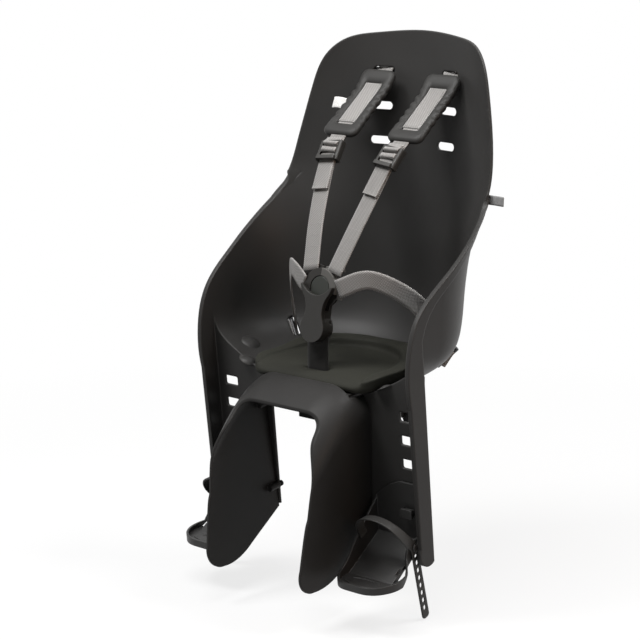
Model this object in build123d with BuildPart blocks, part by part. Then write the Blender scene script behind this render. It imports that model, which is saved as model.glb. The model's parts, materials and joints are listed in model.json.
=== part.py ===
from build123d import *
import os
from math import cos, radians, sin

os.makedirs("parts", exist_ok=True)

# Driving dimensions in millimetres: X across, -Y to the front, Z up, origin on the carrier face
WALL = 4.0
BAND = 3.0
GAP = 0.4
FLOOR_UNDER = 60.0
RIM_HALF = 203.0
BACK_REACH = 250.0
FRONT_REACH = -170.0
LEG_LEAN = 6.0
CALF_REAR = -101.9
LEG_TOP = 165.0
CALF_BOTTOM = -150.0
LEG_TIP = -184.0
GUARD_HALF = 104.5
GUARD_DRAFT = 0.06
GUARD_CORNER = 54.0
GUARD_BACK = -139.0
WINDOW_WIDTH = 26.0
WINDOW_HEIGHT = 15.0
WINDOW_X = RIM_HALF - 31
WINDOW_TOP = 39.0
WINDOW_PITCH = 36.5
WINDOWS = 5
WEB_WIDTH = 28.0
WEB_THICK = 1.8
CROTCH_WIDTH = 40.0
SLOT_LONG = 36.0
SLOT_SHORT = 12.5
SLOT_X = 64.0
SLOT_ROWS = (401.0, 455.0, 509.0)
PAD_TOP = 88.0
PAD_LIP = 104.0
PAD_HALF = 121.0
PAD_FRONT = -135.0
RAIL_R = 8.0
RAIL_X = 70.0
JAW_Y = 25.0
SPINDLE_Z = 20.0
SPINDLE_D = 8.0
JAW_TRAVEL = 12.0
BUTTON_R = 17.5
RING_IN = 18.5
RING_OUT = 30.0

CROTCH_Y = -105.0
SCREW_D = 5.0
HEAD_D = 10.0
HEAD_H = 2.4
BASE_SCREWS = ((-30, -85), (30, -85), (-30, -22), (30, -22))
GUARD_SCREWS = (18.0, -118.0)
BAR_R = 4.0
FOOT_UNDER = -194.0
FOOT_TOP = -62.0
BUCKLE_STRAP = 9.5

FOOT_IN = 107.0
FOOT_OUT = RIM_HALF - WALL - 7.6
FOOT_TOE = RIM_HALF + 2
FOOT_FRONT = -126.0
FOOT_WALL = 3.5
CATCH_AT = WINDOW_TOP - (WINDOWS - 1) * WINDOW_PITCH
CATCH_WIDE = 15.0
CATCH_TALL = 10.0
CATCH_TRAVEL = 6.0
STUD_AT = (-31, -150)
FOOT_STRAP_WIDE = 16.0
FOOT_STRAP_THICK = 2.5
FOOT_STRAP_TAIL = 122.0
FOOT_STRAP_TILT = 9.0
BASE_HALF = 80.0
BASE_TALL = 52.0
BASE_FRONT = -97.0
JAW_WIDE = 40.0
JAW_TALL = 36.0
JAW_OUT = 87.0
RAIL_Z = -RAIL_R - 0.3
KNOB_AT = JAW_OUT + JAW_TRAVEL + 3
# Strap runs, each point on the middle line of the webbing
SHOULDER_BAR = (64, 140.9, 509.6)
SHOULDER_TANGENT = (0.976, -0.216, 0)
SHOULDER_PATH = (
    (64, 133.2, 508.6), (63.8, 128.5, 506.2), (63.2, 119, 498.2), (62.4, 111.6, 491.3), (62.4, 70, 460.1),
    (62.4, 28.4, 428.9), (57, -6, 396), (49.5, -35, 350), (38, -65, 295), (24, -92, 237.2),
)
PAD_POINT = 4
ADJUST_POINT = 6
LAP_POINT = (149, 13.05, 106.4)
LAP_TANGENT = (0.635, 0.316, 0.705)
LAP_NORMAL = (0.538, 0.474, -0.697)
LAP_SEAT = 4.6
LAP_BAR = tuple(Vector(*LAP_POINT) + Vector(*LAP_NORMAL) * LAP_SEAT)
LAP_INSIDE = tuple(Vector(*LAP_POINT) - Vector(*LAP_NORMAL) * 22)
LAP_END = tuple(Vector(*LAP_BAR) - Vector(*LAP_NORMAL) * (BAR_R + WEB_THICK / 2))
LAP_PATH_RIGHT = ((32, -98.6, 209), (84, -80, 226), (138, -38, 188), LAP_INSIDE, LAP_END)
LAP_PATH_LEFT = ((32, -99.4, 210), (60, -89, 226), (86, -67, 220), (114, -34, 176), LAP_INSIDE, LAP_END)
CROTCH_BAR = (0, CROTCH_Y, 55.9)
CROTCH_PATH = ((0, CROTCH_Y, 60.6), (0, CROTCH_Y, 95), (0, -104.6, 124), (0, -99.6, 154))
FOOT_STRAP_PATH = (
    (FOOT_IN + 6.8, -46, -142), (FOOT_IN + 8.6, -58, -121), (FOOT_IN + 24, -68, -104), (FOOT_IN + 48, -71, -98),
    (FOOT_OUT - 13, -68, -104), (FOOT_OUT, -58, -120), (FOOT_OUT + 2.8, -44, -137), (FOOT_OUT + 2.3, -31, -150),
)
BUCKLE = Plane((0, -100, 207), x_dir=(1, 0, 0), z_dir=(0, -0.985, 0.174))

# Bowl stations from the floor up: height, half width, rearmost point, depth behind the axis
BOWL = (
    (FLOOR_UNDER, RIM_HALF - 99, 0, 70),
    (66, RIM_HALF - 84, 20, 90),
    (78, RIM_HALF - 61, 44, 114),
    (96, RIM_HALF - 31, 68, 138),
    (120, RIM_HALF - 7, 86, 156),
    (160, RIM_HALF, 104, 171),
    (200, RIM_HALF, 112.5, 178),
    (240, 206, 117, 181),
    (280, 213, 121, 181),
    (320, 226, 125, 174),
    (360, 236, 129, 158),
    (400, 239, 133, 155),
    (440, 240, 137, 163),
    (480, 240, 141, 178),
    (520, 240, 145, 198),
    (560, 239, 148.5, 219),
    (600, 237, 151, 238),
)

LEG_AXIS = (0, -sin(radians(LEG_LEAN)), cos(radians(LEG_LEAN)))
LEG_DEPTH = (0, cos(radians(LEG_LEAN)), sin(radians(LEG_LEAN)))
LEG_PLANE = Plane((0, CALF_REAR, 0), x_dir=(1, 0, 0), z_dir=LEG_AXIS)
LEG_SIDE = Plane((0, CALF_REAR, 0), x_dir=LEG_DEPTH, z_dir=(1, 0, 0))
CALF_FACE = Plane((0, CALF_REAR, 0), x_dir=(1, 0, 0), z_dir=(0, -LEG_DEPTH[1], -LEG_DEPTH[2]))


def bowl_section(height, half, axis, depth, front):
    # Level cut through the bowl: half an oval behind the axis, open box in front of it
    with BuildSketch(Plane.XY.offset(height)) as section:
        with BuildLine():
            EllipticalCenterArc((0, axis), half, depth, 0, arc_size=180)
            Polyline((-half, axis), (-half, front), (half, front), (half, axis))
        make_face()
    return section.sketch


def bowl_sections(grow, front, top):
    # Cuts of a form that follows the bowl, grown outward, or shrunk when grow is negative
    cuts = []
    for height, half, rear, depth in BOWL:
        level = height + max(0.0, -grow) * max(0.0, 1 - (height - FLOOR_UNDER) / 60)
        if level <= top:
            cuts.append(bowl_section(level, half + grow, rear - depth, depth + grow, front))
    return cuts


def ahead_of_rim(shift):
    # Side view of the room in front of the wing and leg edge, with the edge moved back by shift
    with BuildSketch(Plane.YZ) as outline:
        with BuildLine():
            edge = Spline(
                (66 + shift, 346),
                (-4 + shift, 289),
                (-76 + shift, 237),
                (-132 + shift, 187),
                (-149 + shift, 130),
                (-142 + shift, 61),
            )
            Line(edge @ 1, (-115 + shift, -156))
            ThreePointArc((-115 + shift, -156), (-101 + shift, LEG_TIP), (-80 + shift, -152))
            Polyline((-80 + shift, -152), (BACK_REACH, -152), (BACK_REACH, -300), (-400, -300), (-400, 346))
            Line((-400, 346), edge @ 0)
        make_face()
    return outline.sketch


def guard_half(height):
    # Half width of the leg guard, which narrows towards the feet
    return GUARD_HALF + GUARD_DRAFT * height


def guard_sections(grow):
    # Upright cuts through the arch from the rear to the front, shrunk when grow is negative
    cuts = []
    for ahead, top in ((90, 79), (139, 76), (168, 64), (200, 39), (270, -22)):
        with BuildSketch(Plane.XZ.offset(ahead)) as section:
            with BuildLine():
                Polyline(
                    (-guard_half(-260) - grow, -260),
                    (guard_half(-260) + grow, -260),
                    (guard_half(top) + grow, top + grow),
                    (-guard_half(top) - grow, top + grow),
                    close=True,
                )
            make_face()
            fillet(section.vertices().group_by(Axis.Z)[-1], GUARD_CORNER + grow)
        cuts.append(section.sketch)
    return cuts


def lap_plane(side):
    # Frame of a lap strap slot: long way up the wall, facing out through it
    point = (side * LAP_POINT[0], LAP_POINT[1], LAP_POINT[2])
    up = (side * LAP_TANGENT[0], LAP_TANGENT[1], LAP_TANGENT[2])
    out = (side * LAP_NORMAL[0], LAP_NORMAL[1], LAP_NORMAL[2])
    return Plane(point, x_dir=up, z_dir=out)


def leg_point(x, depth, rise):
    # Point given across, back and up in the frame of the leaning leg
    shift = Vector(*LEG_DEPTH) * depth + Vector(*LEG_AXIS) * rise
    return (x, CALF_REAR + shift.Y, shift.Z)


def foot_outline(level, inset, back):
    # Footrest seen along the leg: straight inner side, round toe that swells outward ahead of the flange
    with BuildSketch(LEG_PLANE.offset(level)) as outline:
        with BuildLine():
            Line((FOOT_IN + inset, back), (FOOT_IN + inset, FOOT_FRONT + 30))
            corner = RadiusArc(
                (FOOT_IN + inset, FOOT_FRONT + 30), (FOOT_IN + 30, FOOT_FRONT + inset), -30 + inset,
            )
            toe = Spline(
                (FOOT_TOE - 45, FOOT_FRONT + inset),
                (FOOT_TOE - 9 - inset * 0.7, FOOT_FRONT + 17 + inset * 0.7),
                (FOOT_TOE - inset, FOOT_FRONT + 46),
                (FOOT_OUT + 5 - inset, FOOT_FRONT + 74),
                (FOOT_OUT - inset, FOOT_FRONT + 90),
                tangents=((1, 0), (0, 1)),
            )
            Line(corner @ 1, toe @ 0)
            Polyline(toe @ 1, (FOOT_OUT - inset, back), (FOOT_IN + inset, back))
        make_face()
    return outline.sketch


def strap_frame(path, n, across):
    # Frame at one point of a strap: x across the webbing, y out of its face, z along it
    before = Vector(*path[max(n - 1, 0)])
    after = Vector(*path[min(n + 1, len(path) - 1)])
    along = (after - before).normalized()
    return Plane(path[n], x_dir=across - along * along.dot(across), z_dir=along)


def ribbon(path, width, thick, across_start, across_end):
    # Cuts of a flat strap along a path, its width turning from the first direction to the last
    cuts = []
    for n in range(len(path)):
        share = n / (len(path) - 1)
        across = Vector(*across_start) * (1 - share) + Vector(*across_end) * share
        with BuildSketch(strap_frame(path, n, across)) as section:
            Rectangle(width, thick)
        cuts.append(section.sketch)
    return cuts


PAD_PLANE = strap_frame(SHOULDER_PATH, PAD_POINT, Vector(1, 0, 0))
ADJUST_PLANE = strap_frame(SHOULDER_PATH, ADJUST_POINT, Vector(1, 0, 0))
BELOW_PLANE = strap_frame(SHOULDER_PATH, ADJUST_POINT + 1, Vector(1, 0, 0))
TAIL_PATH = [
    tuple(ADJUST_PLANE.from_local_coords((0, 2.2, -4))),
    tuple((ADJUST_PLANE.origin + BELOW_PLANE.origin) * 0.5 + BELOW_PLANE.y_dir * 5.2),
    tuple(BELOW_PLANE.from_local_coords((0, 6.0, 8))),
]


with BuildPart() as seat_shell:
    # Raised band that runs down the wing and leg edge
    loft(bowl_sections(BAND, FRONT_REACH, 610))
    extrude(ahead_of_rim(26), amount=300, both=True, mode=Mode.INTERSECT)
    # Outer form of headrest, back, wings and seat
    loft(bowl_sections(0, FRONT_REACH, 610))
    # Open the front below the wings for the legs
    with BuildSketch(LEG_SIDE):
        with Locations((-52, 79)):
            Rectangle(100, 162)
    extrude(amount=300, both=True, mode=Mode.SUBTRACT)
    # Calf wall and outer leg flange on both sides
    for side in (-1, 1):
        with BuildSketch(LEG_PLANE.offset(-195)):
            with BuildLine():
                Polyline(
                    (side * 90, 0),
                    (side * (RIM_HALF + BAND), 0),
                    (side * (RIM_HALF + BAND), -62),
                    (side * (RIM_HALF - WALL), -62),
                    (side * (RIM_HALF - WALL), -WALL),
                    (side * 90, -WALL),
                    close=True,
                )
            make_face()
        extrude(amount=195 + LEG_TOP)
    # Tongue of the seat floor over the leg guard
    with BuildSketch(Plane.XY.offset(FLOOR_UNDER)):
        with Locations((0, -118)):
            Rectangle(172, 40)
    extrude(amount=WALL)
    # Hollow of the bowl
    loft(bowl_sections(-WALL, FRONT_REACH - 30, 610), mode=Mode.SUBTRACT)
    # Side and front outlines
    extrude(ahead_of_rim(0), amount=300, both=True, mode=Mode.SUBTRACT)
    with BuildSketch(Plane.XZ):
        with BuildLine():
            head = Spline(
                (0, 574), (80, 568), (124, 558), (148, 538), (169, 487), (184, 420), (194, 345),
                tangents=((1, 0), (0.1, -1)),
            )
            Polyline(head @ 1, (260, 338), (260, -250), (0, -250))
            mirror(about=Plane.YZ)
        make_face()
    extrude(amount=400, both=True, mode=Mode.INTERSECT)
    # Lower edge of the calf wall
    with Locations((0, -70, CALF_BOTTOM - 40)):
        Box(2 * (RIM_HALF - WALL), 120, 80, mode=Mode.SUBTRACT)
    # Shoulder strap slots
    with BuildSketch(Plane.XZ):
        with Locations(*[(x, z) for z in SLOT_ROWS for x in (-SLOT_X, SLOT_X)]):
            SlotOverall(SLOT_LONG, SLOT_SHORT)
    extrude(amount=-200, mode=Mode.SUBTRACT)
    # Footrest windows
    for side in (-1, 1):
        with BuildSketch(CALF_FACE.offset(-20)):
            with Locations(*[(side * WINDOW_X, WINDOW_TOP - n * WINDOW_PITCH) for n in range(WINDOWS)]):
                RectangleRounded(WINDOW_WIDTH, WINDOW_HEIGHT, 3)
        extrude(amount=60, mode=Mode.SUBTRACT)
    # Lap strap slots low in the sides
    for side in (-1, 1):
        with BuildSketch(lap_plane(side)):
            SlotOverall(SLOT_LONG, SLOT_SHORT + 0.5)
        extrude(amount=14, both=True, mode=Mode.SUBTRACT)
    # Crotch strap slot and countersunk screw seats in the floor
    with BuildSketch(Plane.XY.offset(FLOOR_UNDER - 10)):
        with Locations((0, CROTCH_Y)):
            SlotOverall(CROTCH_WIDTH + 5, 10.4)
        with Locations(*BASE_SCREWS):
            Circle(SCREW_D / 2 + 0.2)
    extrude(amount=20, mode=Mode.SUBTRACT)
    with BuildSketch(Plane.XY.offset(FLOOR_UNDER + WALL - HEAD_H)):
        with Locations(*BASE_SCREWS):
            Circle(HEAD_D / 2 + 0.2)
    extrude(amount=10, mode=Mode.SUBTRACT)
    # Holes for the leg guard screws
    with BuildSketch(CALF_FACE.offset(-20)):
        with Locations(*[(side * guard_half(w) - side * 8, w) for side in (-1, 1) for w in GUARD_SCREWS]):
            Circle(SCREW_D / 2 + 0.2)
    extrude(amount=40, mode=Mode.SUBTRACT)
seat_shell.part.label = "seat_shell"
export_step(seat_shell.part, "parts/seat_shell.step")

with BuildPart() as leg_guard:
    # Arch over the bicycle with a long wall on the inside of each leg
    loft(guard_sections(0))
    loft(guard_sections(-WALL), mode=Mode.SUBTRACT)
    with BuildSketch(Plane.YZ):
        with BuildLine():
            front = Spline(
                (-190, 62), (-195, 36), (-217, 6), (-242, -99), (-254, -176),
                tangents=((-0.1, -1), (-0.1, -1)),
            )
            tip = ThreePointArc(front @ 1, (-248, -206), (-222, -217))
            sole = Spline(tip @ 1, (-200, -216), (-178, -209), (-156, -196))
            heel = Line(sole @ 1, (CALF_REAR - WALL - GAP + 16, CALF_BOTTOM - 4))
            rear = Line(heel @ 1, (CALF_REAR - WALL - GAP - 6.2, FLOOR_UNDER - 0.5))
            Polyline(rear @ 1, (GUARD_BACK, FLOOR_UNDER - 0.5), (GUARD_BACK, 90), (-190, 90), front @ 0)
        make_face()
    extrude(amount=150, both=True, mode=Mode.INTERSECT)
    # Screw bosses on the rear edges
    for side in (-1, 1):
        with BuildSketch(CALF_FACE.offset(WALL + GAP)):
            with Locations(*[(side * guard_half(w) - side * 8, w) for w in GUARD_SCREWS]):
                Circle(5.5)
        extrude(amount=22)
        with BuildSketch(CALF_FACE.offset(WALL)):
            with Locations(*[(side * guard_half(w) - side * 8, w) for w in GUARD_SCREWS]):
                Circle(SCREW_D / 2)
        extrude(amount=18, mode=Mode.SUBTRACT)
leg_guard.part.label = "leg_guard"
export_step(leg_guard.part, "parts/leg_guard.step")

with BuildPart() as seat_pad:
    # Foam cushion that fills the bottom of the bowl, with a raised lip at the sides and back
    loft(bowl_sections(-WALL - GAP, FRONT_REACH, 170))
    with BuildSketch(Plane.XY.offset(PAD_LIP)):
        Rectangle(600, 600)
    extrude(amount=100, mode=Mode.SUBTRACT)
    extrude(bowl_section(PAD_TOP, PAD_HALF - 20, -66, 100, FRONT_REACH - 30), amount=60, mode=Mode.SUBTRACT)
    with BuildSketch(Plane.XY):
        with BuildLine():
            corner = Spline(
                (PAD_HALF - 33, PAD_FRONT), (PAD_HALF - 10, PAD_FRONT + 13), (PAD_HALF, PAD_FRONT + 40),
                tangents=((1, 0), (0, 1)),
            )
            rear = Spline(
                (PAD_HALF, -30), (PAD_HALF - 22, 28), (60, 54), (0, 62),
                tangents=((0, 1), (-1, 0)),
            )
            Line(corner @ 1, rear @ 0)
            Line((0, PAD_FRONT), corner @ 0)
            mirror(about=Plane.YZ)
        make_face()
    extrude(amount=200, mode=Mode.INTERSECT)
    with BuildSketch(Plane.XY):
        with Locations((0, CROTCH_Y)):
            SlotOverall(CROTCH_WIDTH + 4, 7)
        with Locations((0, 14)):
            SlotOverall(26, 5)
    extrude(amount=200, mode=Mode.SUBTRACT)
seat_pad.part.label = "seat_pad"
export_step(seat_pad.part, "parts/seat_pad.step")

# Shoulder straps, each looped round a bar behind the headrest
with BuildPart() as shoulder_strap_right:
    loft(ribbon(SHOULDER_PATH, WEB_WIDTH, WEB_THICK, (1, 0, 0), (1, 0, 0)), ruled=True)
    with BuildSketch(Plane(SHOULDER_BAR, x_dir=(0, 0, 1), z_dir=SHOULDER_TANGENT)):
        Circle(BAR_R + 0.3 + WEB_THICK)
        Circle(BAR_R + 0.3, mode=Mode.SUBTRACT)
    extrude(amount=WEB_WIDTH / 2, both=True)
shoulder_strap_right.part.label = "shoulder_strap_right"
export_step(shoulder_strap_right.part, "parts/shoulder_strap_right.step")

with BuildPart() as shoulder_strap_left:
    mirror(shoulder_strap_right.part, about=Plane.YZ)
shoulder_strap_left.part.label = "shoulder_strap_left"
export_step(shoulder_strap_left.part, "parts/shoulder_strap_left.step")

with BuildPart() as shoulder_bar_right:
    with BuildSketch(Plane(SHOULDER_BAR, x_dir=(0, 0, 1), z_dir=SHOULDER_TANGENT)):
        Circle(BAR_R)
    extrude(amount=23, both=True)
    fillet(shoulder_bar_right.edges(), 1)
shoulder_bar_right.part.label = "shoulder_bar_right"
export_step(shoulder_bar_right.part, "parts/shoulder_bar_right.step")

with BuildPart() as shoulder_bar_left:
    mirror(shoulder_bar_right.part, about=Plane.YZ)
shoulder_bar_left.part.label = "shoulder_bar_left"
export_step(shoulder_bar_left.part, "parts/shoulder_bar_left.step")

# Padded sleeve on each shoulder strap, with a window that shows the webbing
with BuildPart() as shoulder_pad_right:
    with BuildSketch(PAD_PLANE):
        RectangleRounded(52, 10, 4)
        Rectangle(WEB_WIDTH + 3, WEB_THICK + 0.7, mode=Mode.SUBTRACT)
    extrude(amount=52, both=True)
    with BuildSketch(Plane(PAD_PLANE.origin, x_dir=PAD_PLANE.x_dir, z_dir=PAD_PLANE.y_dir)):
        RectangleRounded(24, 76, 8)
    extrude(amount=20, mode=Mode.SUBTRACT)
    with BuildSketch(Plane(PAD_PLANE.origin, x_dir=PAD_PLANE.x_dir, z_dir=PAD_PLANE.y_dir)):
        Rectangle(60, 120)
        RectangleRounded(52, 104, 12, mode=Mode.SUBTRACT)
        with Locations(*[(side * 28, 12.5 * (n - 2.5)) for side in (-1, 1) for n in range(6)]):
            Circle(3.6)
    extrude(amount=20, both=True, mode=Mode.SUBTRACT)
shoulder_pad_right.part.label = "shoulder_pad_right"
export_step(shoulder_pad_right.part, "parts/shoulder_pad_right.step")

with BuildPart() as shoulder_pad_left:
    mirror(shoulder_pad_right.part, about=Plane.YZ)
shoulder_pad_left.part.label = "shoulder_pad_left"
export_step(shoulder_pad_left.part, "parts/shoulder_pad_left.step")

# Ladder adjuster on each shoulder strap
with BuildPart() as strap_adjuster_right:
    with BuildSketch(ADJUST_PLANE):
        with Locations((0, 1)):
            RectangleRounded(40, 13, 3)
            Rectangle(WEB_WIDTH + 2.5, 9, mode=Mode.SUBTRACT)
    extrude(amount=17, both=True)
    with BuildSketch(Plane(ADJUST_PLANE.origin, x_dir=ADJUST_PLANE.x_dir, z_dir=ADJUST_PLANE.y_dir)):
        with Locations((0, 8), (0, -7)):
            RectangleRounded(WEB_WIDTH + 1, 7, 2)
    extrude(amount=20, mode=Mode.SUBTRACT)
    with BuildSketch(ADJUST_PLANE.offset(12)):
        with Locations((0, 9.2)):
            RectangleRounded(34, 5, 2)
    extrude(amount=6)
strap_adjuster_right.part.label = "strap_adjuster_right"
export_step(strap_adjuster_right.part, "parts/strap_adjuster_right.step")

with BuildPart() as strap_adjuster_left:
    mirror(strap_adjuster_right.part, about=Plane.YZ)
strap_adjuster_left.part.label = "strap_adjuster_left"
export_step(strap_adjuster_left.part, "parts/strap_adjuster_left.step")

# Free end of each shoulder strap below its adjuster
with BuildPart() as strap_tail_right:
    loft(ribbon(TAIL_PATH, WEB_WIDTH, WEB_THICK, (1, 0, 0), (1, 0, 0)))
strap_tail_right.part.label = "strap_tail_right"
export_step(strap_tail_right.part, "parts/strap_tail_right.step")

with BuildPart() as strap_tail_left:
    mirror(strap_tail_right.part, about=Plane.YZ)
strap_tail_left.part.label = "strap_tail_left"
export_step(strap_tail_left.part, "parts/strap_tail_left.step")

# Lap straps out through the sides, each looped round a bar
with BuildPart() as lap_strap_right:
    loft(ribbon(LAP_PATH_RIGHT, WEB_WIDTH, WEB_THICK, (0, 0, 1), LAP_TANGENT))
    with BuildSketch(Plane(LAP_BAR, x_dir=LAP_NORMAL, z_dir=LAP_TANGENT)):
        Circle(BAR_R + 0.3 + WEB_THICK)
        Circle(BAR_R + 0.3, mode=Mode.SUBTRACT)
    extrude(amount=WEB_WIDTH / 2, both=True)
lap_strap_right.part.label = "lap_strap_right"
export_step(lap_strap_right.part, "parts/lap_strap_right.step")

with BuildPart() as lap_strap_left:
    loft(ribbon(LAP_PATH_LEFT, WEB_WIDTH, WEB_THICK, (0, 0, 1), LAP_TANGENT))
    with BuildSketch(Plane(LAP_BAR, x_dir=LAP_NORMAL, z_dir=LAP_TANGENT)):
        Circle(BAR_R + 0.3 + WEB_THICK)
        Circle(BAR_R + 0.3, mode=Mode.SUBTRACT)
    extrude(amount=WEB_WIDTH / 2, both=True)
    mirror(lap_strap_left.part, about=Plane.YZ, mode=Mode.REPLACE)
lap_strap_left.part.label = "lap_strap_left"
export_step(lap_strap_left.part, "parts/lap_strap_left.step")

with BuildPart() as lap_bar_right:
    with BuildSketch(Plane(LAP_BAR, x_dir=LAP_NORMAL, z_dir=LAP_TANGENT)):
        Circle(BAR_R)
    extrude(amount=21, both=True)
    fillet(lap_bar_right.edges(), 1)
lap_bar_right.part.label = "lap_bar_right"
export_step(lap_bar_right.part, "parts/lap_bar_right.step")

with BuildPart() as lap_bar_left:
    mirror(lap_bar_right.part, about=Plane.YZ)
lap_bar_left.part.label = "lap_bar_left"
export_step(lap_bar_left.part, "parts/lap_bar_left.step")

# Crotch strap up through the floor and the cushion
with BuildPart() as crotch_strap:
    loft(ribbon(CROTCH_PATH, CROTCH_WIDTH, WEB_THICK, (1, 0, 0), (1, 0, 0)))
    with BuildSketch(Plane(CROTCH_BAR, x_dir=(0, 1, 0), z_dir=(1, 0, 0))):
        Circle(BAR_R + 0.3 + WEB_THICK)
        Circle(BAR_R + 0.3, mode=Mode.SUBTRACT)
    extrude(amount=CROTCH_WIDTH / 2, both=True)
crotch_strap.part.label = "crotch_strap"
export_step(crotch_strap.part, "parts/crotch_strap.step")

with BuildPart() as crotch_bar:
    with BuildSketch(Plane(CROTCH_BAR, x_dir=(0, 1, 0), z_dir=(1, 0, 0))):
        Circle(BAR_R)
    extrude(amount=29, both=True)
    fillet(crotch_bar.edges(), 1)
crotch_bar.part.label = "crotch_bar"
export_step(crotch_bar.part, "parts/crotch_bar.step")

# Buckle: a back plate, a front plate with two horns and a round lower end
with BuildPart() as buckle_body:
    with BuildSketch(BUCKLE.offset(2)):
        with BuildLine():
            waist = Spline((20, -50), (15.5, -34), (20, -16), (29.5, 1), tangents=((-0.6, 1), (0.4, 1)))
            horn = ThreePointArc(waist @ 1, (29, 3.5), (26, 2.5))
            brow = ThreePointArc(horn @ 1, (14, -7.5), (0, -11))
            Line((0, -50), waist @ 0)
            mirror(about=Plane.YZ)
        make_face()
        with Locations((0, -60)):
            Circle(22)
    extrude(amount=8)
    with BuildSketch(BUCKLE.offset(-14)):
        Circle(RING_OUT - 1)
        with Locations((0, -60)):
            Circle(22)
        with Locations((0, -34)):
            Rectangle(31, 40)
    extrude(amount=5.2)
    with BuildSketch(BUCKLE.offset(-14)):
        with Locations((0, -60)):
            Circle(22)
        with Locations((0, -42)):
            Rectangle(31, 18)
    extrude(amount=18)
    with BuildSketch(BUCKLE.offset(-20)):
        Circle(BUTTON_R + GAP)
    extrude(amount=22, mode=Mode.SUBTRACT)
    # Slot for the crotch strap
    with BuildSketch(Plane(BUCKLE.origin, x_dir=(1, 0, 0), z_dir=BUCKLE.y_dir).offset(-90)):
        with Locations((0, BUCKLE_STRAP)):
            Rectangle(CROTCH_WIDTH + 1, WEB_THICK + 2.4)
    extrude(amount=42, mode=Mode.SUBTRACT)
buckle_body.part.label = "buckle_body"
export_step(buckle_body.part, "parts/buckle_body.step")

with BuildPart() as buckle_button:
    with BuildSketch(BUCKLE.offset(-11)):
        Circle(BUTTON_R)
    extrude(amount=12)
    fillet(buckle_button.faces().sort_by(Axis.Y)[0].edges(), 1.2)
buckle_button.part.label = "buckle_button"
export_step(buckle_button.part, "parts/buckle_button.step")

# Half ring on each side that closes round the button, with ears for the straps
with BuildPart() as strap_tongue_right:
    with BuildSketch(BUCKLE.offset(-8.4)):
        Circle(RING_OUT)
        Circle(RING_IN, mode=Mode.SUBTRACT)
        with BuildLine():
            Polyline((0, 0), (0, 40), (-60, 40), (-60, -60), (40, -60), (40, -9), close=True)
        make_face(mode=Mode.SUBTRACT)
        split(bisect_by=Plane.YZ.offset(0.2), keep=Keep.TOP)
    extrude(amount=9.6)
    with BuildSketch(BUCKLE.offset(-8.4)):
        with Locations(Location((20, 30.5), 12)):
            Rectangle(WEB_WIDTH + 6, 12)
        with Locations(Location((33, 2), 90)):
            Rectangle(WEB_WIDTH + 4, 9)
        Circle(RING_OUT - 2, mode=Mode.SUBTRACT)
        split(bisect_by=Plane.YZ.offset(0.2), keep=Keep.TOP)
    extrude(amount=2)
strap_tongue_right.part.label = "strap_tongue_right"
export_step(strap_tongue_right.part, "parts/strap_tongue_right.step")

with BuildPart() as strap_tongue_left:
    mirror(strap_tongue_right.part, about=Plane.YZ)
strap_tongue_left.part.label = "strap_tongue_left"
export_step(strap_tongue_left.part, "parts/strap_tongue_left.step")

# Footrest: a scoop with a low rim, a rising inner wall and a back plate on the calf wall
with BuildPart() as footrest_right:
    extrude(foot_outline(FOOT_UNDER, 0, -WALL - GAP), amount=FOOT_TOP - FOOT_UNDER)
    extrude(foot_outline(FOOT_UNDER + 4.5, FOOT_WALL, -2 * WALL - GAP), amount=200, mode=Mode.SUBTRACT)
    # Heel ramp
    with BuildSketch(LEG_SIDE.offset(FOOT_IN + 1)):
        with BuildLine():
            Polyline((-84, -189.5), (-84, -192), (-76, -194), (-6, -151.5), (-6, -147), close=True)
        make_face()
    extrude(amount=FOOT_OUT - FOOT_IN - 2)
    with BuildSketch(LEG_SIDE):
        with BuildLine():
            Polyline((-76, -194.1), (0, -148), (0, -230), (-76, -230), close=True)
        make_face()
    extrude(amount=300, mode=Mode.SUBTRACT)
    # Top edge that falls from the back plate to the low front rim
    with BuildSketch(LEG_SIDE):
        with BuildLine():
            fall = Spline(
                (-150, -183), (-116, -182.5), (-98, -178), (-65, -147), (-37, -121), (-9, -97),
                tangents=((1, 0), (0.74, 0.67)),
            )
            Polyline(fall @ 1, (-9, -40), (-150, -40), fall @ 0)
        make_face()
    extrude(amount=300, mode=Mode.SUBTRACT)
    with BuildSketch(LEG_SIDE.offset(FOOT_OUT - 6)):
        with BuildLine():
            Polyline(
                (-150, -183), (-62, -182), (-43, -151), (-36, -142), (-12, -140), (-12, -40), (-150, -40),
                close=True,
            )
        make_face()
    extrude(amount=30, mode=Mode.SUBTRACT)
    # Rounded inner corner of the back plate
    with BuildSketch(CALF_FACE):
        with BuildLine():
            Spline(
                (FOOT_IN - 1, -99), (FOOT_IN + 8, -86), (FOOT_IN + 22, -75), (FOOT_IN + 50, FOOT_TOP + 0.1),
                tangents=((0.3, 1), (1, 0.25)),
            )
            Polyline((FOOT_IN + 50, FOOT_TOP + 0.1), (FOOT_IN - 1, FOOT_TOP + 0.1), (FOOT_IN - 1, -99))
        make_face()
    extrude(amount=40, mode=Mode.SUBTRACT)
    # Raised arcs on the sole
    with BuildSketch(LEG_PLANE.offset(FOOT_UNDER + 4.5)):
        with Locations(((FOOT_IN + FOOT_OUT) / 2 + 2, -102)):
            Ellipse(34, 15)
            Ellipse(31, 12, mode=Mode.SUBTRACT)
            Rectangle(48, 40, mode=Mode.INTERSECT)
    extrude(amount=1.2)
    # Hole for the catch
    with BuildSketch(CALF_FACE):
        with Locations((WINDOW_X, CATCH_AT)):
            Rectangle(CATCH_WIDE + 2 * GAP, CATCH_TALL + 2 * GAP)
    extrude(amount=30, mode=Mode.SUBTRACT)
footrest_right.part.label = "footrest_right"
export_step(footrest_right.part, "parts/footrest_right.step")

with BuildPart() as footrest_left:
    mirror(footrest_right.part, about=Plane.YZ)
footrest_left.part.label = "footrest_left"
export_step(footrest_left.part, "parts/footrest_left.step")

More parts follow.
